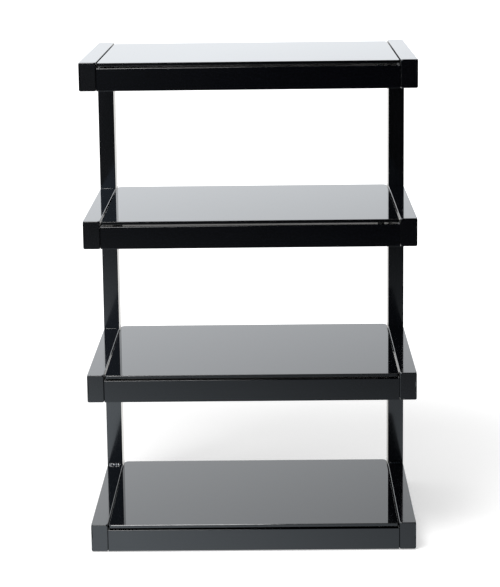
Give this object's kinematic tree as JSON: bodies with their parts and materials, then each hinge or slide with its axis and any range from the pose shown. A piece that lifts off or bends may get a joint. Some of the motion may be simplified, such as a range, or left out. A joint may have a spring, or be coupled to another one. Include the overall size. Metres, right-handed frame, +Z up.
{
  "type": "audio equipment rack",
  "caption": "Open gloss black rack of rectangular steel tube for audio components, with rear posts, level cross rails and lift-out black glass shelves on soft pads.",
  "frame": {"origin": "on the floor under the middle of the rack, halfway across and halfway from front to back", "axes": "+Z up the posts, +X to the right as seen from the front, -Y out of the open front"},
  "size_m": [0.59, 0.44, 0.889],
  "materials": {
    "gloss_black_lacquer": "gloss lacquer on welded steel tube",
    "black_glass": "opaque black glass with ground and polished arrises",
    "clear_rubber": "milky soft pads",
    "zinc_steel": "bright zinc plate",
    "black_nylon": "moulded black nylon"
  },
  "bodies": {
    "frame": {"side_rail_left_bottom": "gloss_black_lacquer", "side_rail_left_lower": "gloss_black_lacquer", "side_rail_left_upper": "gloss_black_lacquer", "side_rail_left_top": "gloss_black_lacquer", "side_rail_right_bottom": "gloss_black_lacquer", "side_rail_right_lower": "gloss_black_lacquer", "side_rail_right_upper": "gloss_black_lacquer", "side_rail_right_top": "gloss_black_lacquer", "post_left_bottom": "gloss_black_lacquer", "post_left_middle": "gloss_black_lacquer", "post_left_top": "gloss_black_lacquer", "post_right_bottom": "gloss_black_lacquer", "post_right_middle": "gloss_black_lacquer", "post_right_top": "gloss_black_lacquer", "front_rail_bottom": "gloss_black_lacquer", "front_rail_lower": "gloss_black_lacquer", "front_rail_upper": "gloss_black_lacquer", "front_rail_top": "gloss_black_lacquer", "rear_rail_bottom": "gloss_black_lacquer", "rear_rail_lower": "gloss_black_lacquer", "rear_rail_upper": "gloss_black_lacquer", "rear_rail_top": "gloss_black_lacquer", "rail_bolt_front_left_bottom": "zinc_steel", "rail_bolt_rear_left_bottom": "zinc_steel", "rail_bolt_front_right_bottom": "zinc_steel", "rail_bolt_rear_right_bottom": "zinc_steel", "rail_bolt_front_left_lower": "zinc_steel", "rail_bolt_rear_left_lower": "zinc_steel", "rail_bolt_front_right_lower": "zinc_steel", "rail_bolt_rear_right_lower": "zinc_steel", "rail_bolt_front_left_upper": "zinc_steel", "rail_bolt_rear_left_upper": "zinc_steel", "rail_bolt_front_right_upper": "zinc_steel", "rail_bolt_rear_right_upper": "zinc_steel", "rail_bolt_front_left_top": "zinc_steel", "rail_bolt_rear_left_top": "zinc_steel", "rail_bolt_front_right_top": "zinc_steel", "rail_bolt_rear_right_top": "zinc_steel", "glass_pad_left_bottom": "clear_rubber", "glass_pad_right_bottom": "clear_rubber", "glass_pad_left_lower": "clear_rubber", "glass_pad_right_lower": "clear_rubber", "glass_pad_left_upper": "clear_rubber", "glass_pad_right_upper": "clear_rubber", "glass_pad_left_top": "clear_rubber", "glass_pad_right_top": "clear_rubber", "foot_nut_front_left": "zinc_steel", "foot_nut_rear_left": "zinc_steel", "foot_nut_front_right": "zinc_steel", "foot_nut_rear_right": "zinc_steel"},
    "glass_bottom": {"glass_shelf_bottom": "black_glass"},
    "glass_lower": {"glass_shelf_lower": "black_glass"},
    "glass_upper": {"glass_shelf_upper": "black_glass"},
    "glass_top": {"glass_shelf_top": "black_glass"},
    "foot_body_front_left": {"foot_front_left": "black_nylon"},
    "foot_body_rear_left": {"foot_rear_left": "black_nylon"},
    "foot_body_front_right": {"foot_front_right": "black_nylon"},
    "foot_body_rear_right": {"foot_rear_right": "black_nylon"}
  },
  "joints": [
    {"name": "glass_bottom_draw", "type": "slide", "parent": "frame", "child": "glass_bottom", "axis": [0, -1, 0], "range_m": [0, 0.45]},
    {"name": "glass_lower_draw", "type": "slide", "parent": "frame", "child": "glass_lower", "axis": [0, -1, 0], "range_m": [0, 0.45]},
    {"name": "glass_upper_draw", "type": "slide", "parent": "frame", "child": "glass_upper", "axis": [0, -1, 0], "range_m": [0, 0.45]},
    {"name": "glass_top_lift", "type": "slide", "parent": "frame", "child": "glass_top", "axis": [0, 0, 1], "range_m": [0, 0.25]},
    {"name": "foot_front_left_screw", "type": "slide", "parent": "frame", "child": "foot_body_front_left", "axis": [0, 0, -1], "range_m": [0, 0.012]},
    {"name": "foot_rear_left_screw", "type": "slide", "parent": "frame", "child": "foot_body_rear_left", "axis": [0, 0, -1], "range_m": [0, 0.012]},
    {"name": "foot_front_right_screw", "type": "slide", "parent": "frame", "child": "foot_body_front_right", "axis": [0, 0, -1], "range_m": [0, 0.012]},
    {"name": "foot_rear_right_screw", "type": "slide", "parent": "frame", "child": "foot_body_rear_right", "axis": [0, 0, -1], "range_m": [0, 0.012]}
  ]
}
